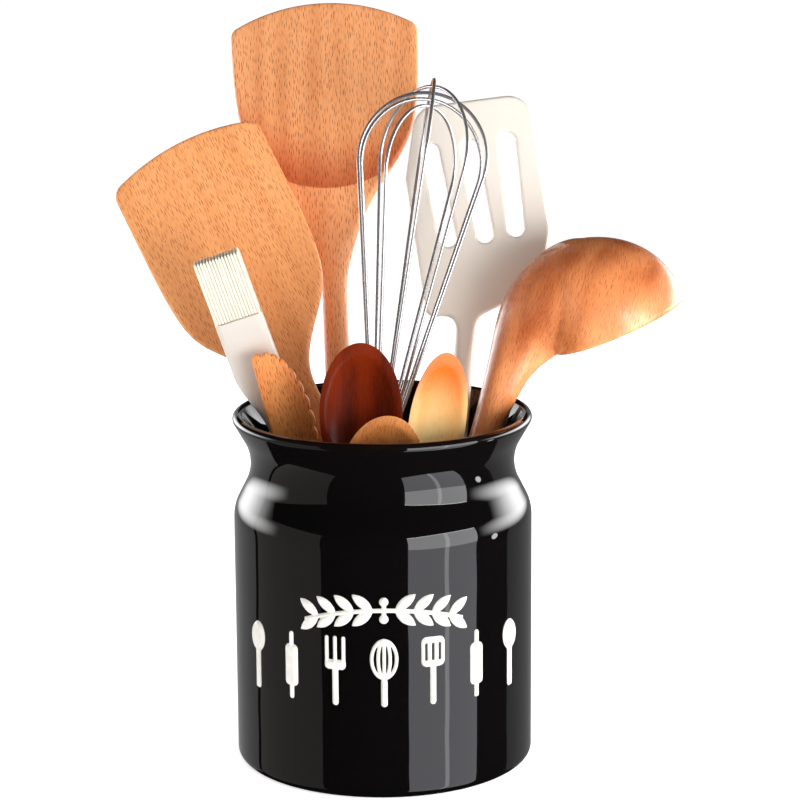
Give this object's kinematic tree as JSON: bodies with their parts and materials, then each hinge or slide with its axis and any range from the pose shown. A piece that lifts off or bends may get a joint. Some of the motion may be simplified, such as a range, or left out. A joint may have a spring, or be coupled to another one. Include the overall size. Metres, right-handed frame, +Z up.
{
  "type": "utensil crock with kitchen utensils",
  "caption": "Glazed crock with a flared lip and raised ornament, holding wooden turners, spoons and a ladle, a balloon whisk, a slotted turner and a pastry brush",
  "frame": {"origin": "centre of the crock's flat foot, on the surface it stands on", "axes": "+Z up along the crock's axis, -Y towards the front with the raised ornament, +X to the right as seen from the front"},
  "size_m": [0.2931, 0.1981, 0.3779],
  "materials": {
    "black_glaze": "glossy black glaze",
    "white_slip": "glossy white raised slip",
    "beech_wide": "oiled beech",
    "beech_flat": "oiled beech",
    "beech_server": "oiled beech",
    "dark_wood": "dark reddish lacquered wood",
    "golden_wood": "glossy varnished golden wood",
    "pale_wood": "pale varnished wood",
    "ladle_wood": "oiled beech",
    "brush_plastic": "satin light grey moulded plastic",
    "bristle_silicone": "soft off-white moulded bristles",
    "handle_steel": "satin steel tube",
    "plug_plastic": "grey moulded plug",
    "wire_steel": "polished steel wire",
    "white_silicone": "soft off-white silicone"
  },
  "bodies": {
    "crock": {"crock_body": "black_glaze", "relief_sprig": "white_slip", "relief_1": "white_slip", "relief_2": "white_slip", "relief_3": "white_slip", "relief_4": "white_slip", "relief_5": "white_slip", "relief_6": "white_slip", "relief_7": "white_slip"},
    "wide_turner": {"wide_turner": "beech_wide"},
    "flat_turner": {"flat_turner": "beech_flat"},
    "brush": {"brush_handle": "brush_plastic", "brush_head": "bristle_silicone"},
    "scalloped_server": {"scalloped_server": "beech_server"},
    "dark_spoon": {"dark_spoon": "dark_wood"},
    "light_spoon": {"light_spoon": "golden_wood"},
    "small_spoon": {"small_spoon": "pale_wood"},
    "whisk": {"whisk_handle": "handle_steel", "whisk_plug": "plug_plastic", "whisk_loop_1": "wire_steel", "whisk_loop_2": "wire_steel", "whisk_loop_3": "wire_steel", "whisk_loop_4": "wire_steel", "whisk_loop_5": "wire_steel"},
    "slotted_turner": {"slotted_turner": "white_silicone"},
    "ladle": {"ladle": "ladle_wood"}
  },
  "joints": [
    {"name": "lift_wide_turner", "type": "slide", "parent": "crock", "child": "wide_turner", "axis": [-0.0341, 0.3494, 0.9363], "range_m": [0, 0.195]},
    {"name": "lift_flat_turner", "type": "slide", "parent": "crock", "child": "flat_turner", "axis": [-0.4341, 0.263, 0.8616], "range_m": [0, 0.21]},
    {"name": "lift_brush", "type": "slide", "parent": "crock", "child": "brush", "axis": [-0.3022, -0.1724, 0.9375], "range_m": [0, 0.195]},
    {"name": "lift_scalloped_server", "type": "slide", "parent": "crock", "child": "scalloped_server", "axis": [-0.2383, -0.1972, 0.951], "range_m": [0, 0.195]},
    {"name": "lift_dark_spoon", "type": "slide", "parent": "crock", "child": "dark_spoon", "axis": [0.0028, 0.0855, 0.9963], "range_m": [0, 0.195]},
    {"name": "lift_light_spoon", "type": "slide", "parent": "crock", "child": "light_spoon", "axis": [0.1402, 0.0073, 0.9901], "range_m": [0, 0.195]},
    {"name": "lift_small_spoon", "type": "slide", "parent": "crock", "child": "small_spoon", "axis": [0.2426, -0.0218, 0.9699], "range_m": [0, 0.195]},
    {"name": "lift_whisk", "type": "slide", "parent": "crock", "child": "whisk", "axis": [0.1518, 0.2003, 0.9679], "range_m": [0, 0.195]},
    {"name": "lift_slotted_turner", "type": "slide", "parent": "crock", "child": "slotted_turner", "axis": [0.0802, 0.1976, 0.977], "range_m": [0, 0.195]},
    {"name": "lift_ladle", "type": "slide", "parent": "crock", "child": "ladle", "axis": [0.284, 0.0675, 0.9564], "range_m": [0, 0.195]}
  ]
}
